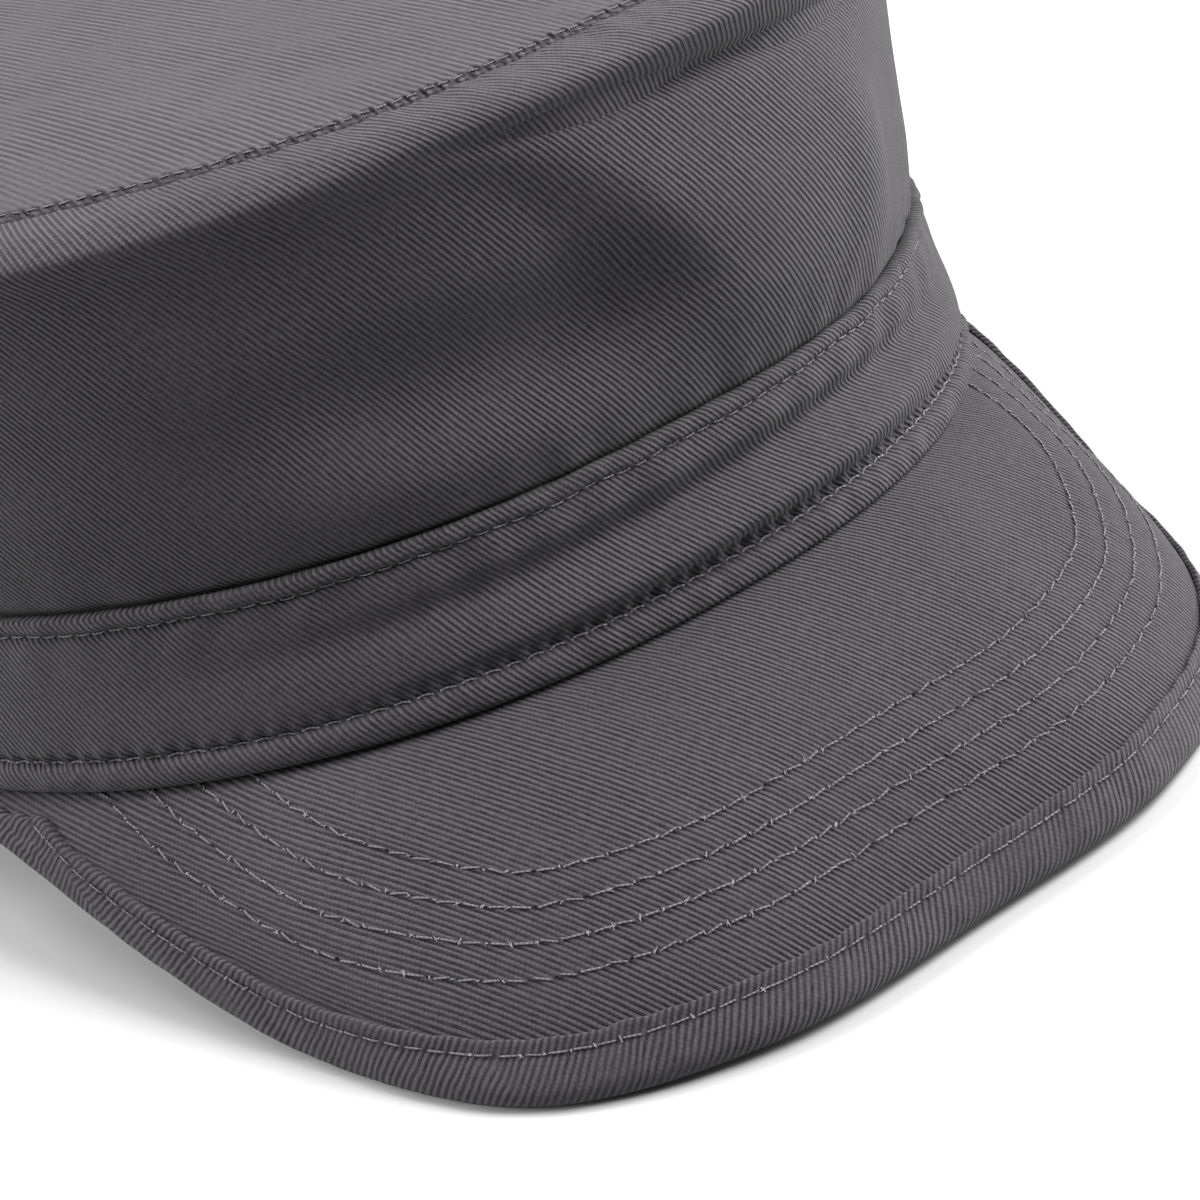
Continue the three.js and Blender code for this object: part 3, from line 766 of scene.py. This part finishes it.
def crown_side():
    angle = spread(640)[:, None]
    share = settled(84, (0.06, 0.86, 0.94, 1.0), 2.5, 0.03)[None]
    outer, at = crown_surface(angle, share)
    n = normals(outer)
    n = outwards(n, n[len(angle) // 2, share.size // 2])
    pick = inner_stations(share.size, 18)
    inner = outer[:, pick] - n[:, pick] * CROWN_WALL
    at = np.broadcast_to(at, outer.shape[:2])
    arc = np.broadcast_to(arc_at(angle), outer.shape[:2])
    cloth = np.stack([arc, at], -1)
    seam = np.stack([arc, at.max() - at], -1)
    return shell("crown_side_cloth", outer, inner, cloth, seam, True, side_cloth)


def top_surface(angle, share):
    """Upper face of the crown top, share 0 at the middle and 1 at the seam."""
    edge = rim(angle, -SEAM_INSET - 0.25, 0)
    away = (1 - share) * TOP_RADIUS + 0 * angle
    arc = arc_at(angle)
    gather = np.exp(-(away / 5.0)**2) * step(away, 0, 1.5)
    z = CROWN_HEIGHT + TOP_RISE * (1 - share**3) + 0.25
    z = z + 0.13 * gather * wobble(arc, 31, 4.5, 14, count=14) - 0.55 * np.exp(-(away / 0.8)**2)
    z = z + 0.16 * np.exp(-((away - 1.2) / 0.8)**2) * (0.4 + 0.6 * np.cos(TURN * arc / SEAM_PITCH))
    x, y = edge[..., 0] * share, edge[..., 1] * share
    z = z + 0.5 * np.sin(x / 31 + 0.6) * np.sin(y / 37 + 1.1) * (1 - share**4)
    return np.stack([x, y, z + 0 * x], -1), away


def crown_top():
    angle = spread(760)[:, None]
    share = np.r_[0.0005, 0.0015, np.linspace(0.04, 0.8, 14), np.linspace(0.82, 0.97, 16),
                  np.linspace(0.9725, 1, 16)][None]
    outer, away = top_surface(angle, share)
    inner = outer[:, ::6].copy()
    inner = np.concatenate([inner, outer[:, -1:]], 1)
    inner[..., 2] -= CROWN_WALL
    seam = np.stack([np.broadcast_to(arc_at(angle), away.shape), away], -1)
    return shell("crown_top_cloth", outer, inner, outer[..., :2].copy(), seam, True, top_cloth)


def band():
    angle = spread(960)[:, None]
    z = settled(66, (0.0, 0.08, 0.163, 0.91, 0.97, 1.0), 3.0, 0.03)[None]
    outer, at = band_surface(angle, z)
    zz = z[:, inner_stations(z.size, 12)]
    dents = folds(BAND_FOLDS, angle, zz * BAND_HEIGHT, BAND_HEIGHT)
    inner = rim(angle, -BAND_LEAN * zz - BAND_WALL + dents, zz * BAND_HEIGHT)
    arc = np.broadcast_to(arc_at(angle), outer.shape[:2])
    cloth = np.stack([arc, np.broadcast_to(at, outer.shape[:2])], -1)
    return shell("band_cloth", outer, inner, cloth, cloth, True, band_cloth)


def widening(ribs):
    """Share that divides the tape's width at each rib: under 1 where ribs lean along the peak's edge."""
    run = np.gradient(ribs[1], axis=0)
    run /= np.linalg.norm(run, axis=1)[:, None]
    inward = ribs[0] - ribs[1]
    inward = inward / np.linalg.norm(inward, axis=1)[:, None]
    lean = (run * inward).sum(1)
    return np.maximum(np.sqrt(1 - lean**2), 0.62)**0.35


# Section of the tape: inset as a share of its width, and side as a share of the half thickness.
TAPE_BEND = [
    (1, 0.8), (0.985, 1.0), (0.95, 1.08), (0.89, 1.07), (0.81, 0.97), (0.74, 0.89), (0.65, 0.97),
    (0.4, 1.02), (0.22, 1.0), (0.1, 0.85), (0.03, 0.5), (0, 0),
    (0.03, -0.5), (0.1, -0.85), (0.22, -1), (0.6, -1), (1, -1),
]


def peak_and_tape():
    place = np.linspace(-PEAK_END, PEAK_END, 361)
    ribs = peak_ribs(place)
    root, edge, _, _, square = ribs
    end = 1 - np.minimum(1.2, 0.25 * square) / square
    start = -np.minimum(1.8, 0.12 * square) / square
    share = start[:, None] + np.linspace(0, 1, 72)[None] * (end - start)[:, None]
    flat = peak_points(ribs, share, 0 * share)
    inset = edge_distance(flat, edge)
    along = arcs(edge) - arcs(edge)[-1] / 2
    root_step = 0.9 * np.exp(-((share * square[:, None]) / 2.2)**2)
    quilt = 0.0 * inset
    for i in range(ROWS):
        quilt -= 0.16 * np.exp(-((inset - ROW_FIRST - i * ROW_STEP) / 0.9)**2)
    seams = wobble(along[:, None] + 0.4 * inset, 41, 5, 15, whole=EDGE_ROUND)
    rows_zone = step(inset, ROW_FIRST - 4, ROW_FIRST) * step(ROW_FIRST + 4.2 * ROW_STEP - inset, 0, 4)
    lift = quilt + 0.05 * seams * rows_zone - root_step * 0.5
    outer = peak_points(ribs, share, lift)
    inner_share = share[:, ::6]
    inner_share = np.concatenate([inner_share, share[:, -1:]], 1)
    inner = peak_points(ribs, inner_share, 0 * inner_share - PEAK_WALL)
    r2, e2 = unroll(root, edge)
    middle = len(place) // 2
    axis = e2[middle] - r2[middle]
    axis /= np.linalg.norm(axis)
    to = np.array([[axis[1], -axis[0]], [-axis[0], -axis[1]]])
    r2, e2 = (r2 - r2[middle]) @ to.T, (e2 - r2[middle]) @ to.T
    if r2[-1, 0] < r2[0, 0]:
        r2[:, 0] *= -1
        e2[:, 0] *= -1
    cloth = r2[:, None] * (1 - share[..., None]) + e2[:, None] * share[..., None]
    seam = np.stack([np.broadcast_to(along[:, None], inset.shape), inset], -1)
    made = [shell("peak_cloth", outer, inner, cloth, seam, False, peak_cloth)]

    # The tape goes round the fold, over a core that leaves room for the peak.
    stations = np.array(TAPE_BEND)
    t = np.linspace(0, 1, len(stations))
    fine = np.linspace(0, 1, 64)
    ins, side = smooth(t, stations[:, 0], fine), smooth(t, stations[:, 1], fine)
    widened = widening(ribs)
    width = np.minimum(TAPE_WIDTH / widened, 0.86 * square)
    half = PEAK_WALL / 2
    waver = 0.12 * wobble(along, 42, 5, 18, whole=EDGE_ROUND)
    back = np.clip(ins[None] * (width[:, None] + waver[:, None]), 0, None)
    tape_share = 1 - back / square[:, None]
    full = half + TAPE_LIFT
    ripple = 0.07 * wobble(along[:, None] + 0.3 * back, 43, 4, 12, whole=EDGE_ROUND) * (side[None] > 0.5)
    tape = peak_points(ribs, tape_share, side[None] * full - half + ripple)
    core_back = np.clip(back[:, ::4], 0.5, None)
    core_side = np.sign(side[::4]) * np.minimum(np.abs(side[::4]), 1) * (half + 0.08)
    core_share = 1 - core_back / square[:, None]
    core = peak_points(ribs, core_share, core_side[None] - half)
    run = np.gradient(edge, axis=0)
    run /= np.linalg.norm(run, axis=1)[:, None]
    slide = ((tape - edge[:, None]) * run[:, None]).sum(-1)
    wrap = np.stack([arcs(row) for row in tape - slide[..., None] * run[:, None]])
    cloth = np.stack([along[:, None] + slide, wrap], -1)
    seam = np.stack([np.broadcast_to(along[:, None], tape.shape[:2]),
                     np.where(side[None] > 0, back * widened[:, None], 60)], -1)
    made.append(shell("peak_tape_cloth", tape, core, cloth, seam, False, tape_cloth))
    return made, (ribs, inset, share, lift)


def contour(points, up, inset, value):
    """Path and normals where the inset has a value, across a grid of ribs."""
    path, ups = [], []
    for p, n, d in zip(points, up, inset):
        if d[0] <= value + 0.2:
            continue
        j = int(np.argmax(d < value))
        if j == 0:
            continue
        t = (d[j - 1] - value) / (d[j - 1] - d[j])
        path.append(p[j - 1] * (1 - t) + p[j] * t)
        ups.append(n[j - 1] * (1 - t) + n[j] * t)
    return np.array(path), np.array(ups)


crown_piece = crown_side()
top_piece = crown_top()
band_piece = band()
(peak_piece, tape_piece), (ribs, inset, share, lift) = peak_and_tape()

# Sewing.
angles = spread(1400)
FRONT = len(angles) // 2
ASIDE = np.array([0.3, 0, -0.3])


def top_row(away):
    """Path and normals on the crown's top, at a distance from its seam."""
    grid = 1 - (away + ASIDE) / TOP_RADIUS
    pts = top_surface(angles[:, None], grid[None])[0]
    n = normals(pts)[:, 1]
    return pts[:, 1], n if n[FRONT, 2] > 0 else -n


def band_row(z):
    """Path and normals round the band, at a height."""
    grid = (z - ASIDE)[None] / BAND_HEIGHT
    pts, _ = band_surface(angles[:, None], grid)
    n = normals(pts)[:, 1]
    return pts[:, 1], outwards(n, n[FRONT])


sewn = []
turned = arc_at(angles)
p, n = top_row(0.75)
sewn.append(sewing("crown_seam_stitches", p, n, SEAM_PITCH, 1.6, 0.13, thread, 50,
                   lift=0.12, sink=0.25, measure=turned))
p, n = band_row(BAND_HEIGHT - EDGE_FOLD)
sewn.append(sewing("band_upper_stitches", p, n, BAND_PITCH, 2.2, 0.15, pale_thread, 51,
                   lift=0.2, sink=0.25, measure=turned))
p, n = band_row(WELT_HEIGHT + 0.1)
sewn.append(sewing("band_lower_stitches", p, n, HEM_PITCH, 2.6, 0.15, thread, 52,
                   lift=0.16, sink=0.25, measure=turned))
sewn.append(lint("band_lower_lint", p, n, HEM_PITCH, 0.25, 0.6, needle_lint, 53))

peak_grid = peak_points(ribs, share, lift)
peak_up = normals(peak_grid)
middle = len(peak_up) // 2
peak_up = peak_up if peak_up[middle, 30, 2] > 0 else -peak_up
for i in range(ROWS):
    row = f"peak_row_{i + 1}"
    p, n = contour(peak_grid, peak_up, inset, ROW_FIRST + i * ROW_STEP)
    sewn.append(sewing(f"{row}_stitches", p, n, PEAK_PITCH, 2.45, 0.15, thread, 60 + i,
                       lift=0.12, sink=0.2, cross=0.3))
    sewn.append(holes(f"{row}_holes", p, n, PEAK_PITCH, 0.33, needle_hole_shade, 65 + i))
    sewn.append(lint(f"{row}_lint", p, n, PEAK_PITCH, 0.85, 0.85, needle_lint, 70 + i))

square_on = (ribs[4] * widening(ribs))[:, None]
tape_share = 1 - (TAPE_STITCH + ASIDE[None]) / square_on
keep = square_on[:, 0] > TAPE_STITCH * 1.2
tape_line = peak_points(ribs, tape_share, 0 * tape_share + TAPE_LIFT - 0.08)
tape_up = normals(tape_line)[:, 1]
tape_up = tape_up if tape_up[middle, 2] > 0 else -tape_up
p, n = tape_line[keep, 1], tape_up[keep]
sewn.append(sewing("tape_stitches", p, n, TAPE_PITCH, 2.5, 0.13, thread, 80, lift=0.1, sink=0.25))
sewn.append(lint("tape_lint", p, n, TAPE_PITCH, 0.6, 0.7, needle_lint, 81))

for piece, cad, slot in (
    (crown_piece, "crown_side", "crown_cloth"),
    (top_piece, "crown_top", "crown_cloth"),
    (band_piece, "band", "band_cloth"),
    (peak_piece, "peak", "peak_cloth"),
    (tape_piece, "peak_binding", "tape"),
):
    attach(piece, "root")
    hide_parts(cad)
for piece in sewn:
    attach(piece, "root")

# Floor, light and camera, in metres.
FLOOR_HALF = 3.0
FLOOR_SHADE = (0.42, 0.42, 0.42, 1)
WORLD_LIGHT = 0.135
corners = [(x * FLOOR_HALF, y * FLOOR_HALF, 0) for x, y in ((-1, -1), (1, -1), (1, 1), (-1, 1))]
floor_mesh = bpy.data.meshes.new("floor")
floor_mesh.from_pydata(corners, [], [(0, 1, 2, 3)])
floor = bpy.data.objects.new("floor", floor_mesh)
bpy.context.collection.objects.link(floor)
floor_mesh.materials.append(Graph("floor_paper").finish(FLOOR_SHADE, 0.9, 0.0))

world = bpy.data.worlds.new("studio")
bpy.context.scene.world = world
world.use_nodes = True
sky = world.node_tree.nodes["Background"]
sky.inputs[0].default_value = (1, 1, 1, 1)
sky.inputs[1].default_value = WORLD_LIGHT


def softbox(name, azimuth, elevation, distance, size, power):
    """A square light that faces the origin. azimuth: degrees from the front, towards +X."""
    data = bpy.data.lights.new(name, "AREA")
    data.shape = "RECTANGLE"
    data.size, data.size_y = size
    data.energy = power
    lamp = bpy.data.objects.new(name, data)
    a, e = math.radians(azimuth), math.radians(elevation)
    back = Vector((math.sin(a) * math.cos(e), -math.cos(a) * math.cos(e), math.sin(e)))
    lamp.location = back * distance
    lamp.rotation_mode = "QUATERNION"
    lamp.rotation_quaternion = (-back).to_track_quat("-Z", "Y")
    bpy.context.collection.objects.link(lamp)


softbox("key", 203, 62, 1.5, (0.9, 0.7), 21)
softbox("left", 238, 28, 1.4, (1.0, 0.8), 29)
softbox("right", 82, 14, 1.4, (1.2, 0.7), 46)
softbox("front", 44, 60, 1.5, (0.8, 0.6), 40)

# The camera's place and turn come from the fit of the cap's seams to the photo.
CAMERA_PLACE = (-0.20554, -0.36899, 0.25298)
CAMERA_RIGHT, CAMERA_UP = (0.77684, -0.60921, -0.15934), (0.43626, 0.33822, 0.83384)
camera = bpy.data.cameras.new("camera")
camera.sensor_width = 36
camera.lens = 94.75
camera.shift_x, camera.shift_y = 0.007, 0.0158
camera.clip_start, camera.clip_end = 0.02, 20
camera_object = bpy.data.objects.new("camera", camera)
bpy.context.collection.objects.link(camera_object)
right = Vector(CAMERA_RIGHT).normalized()
back = right.cross(Vector(CAMERA_UP)).normalized()
turn = Matrix((right, back.cross(right), back)).transposed().to_4x4()
camera_object.matrix_world = Matrix.Translation(CAMERA_PLACE) @ turn
bpy.context.scene.camera = camera_object
bpy.context.scene.view_settings.view_transform = "Standard"
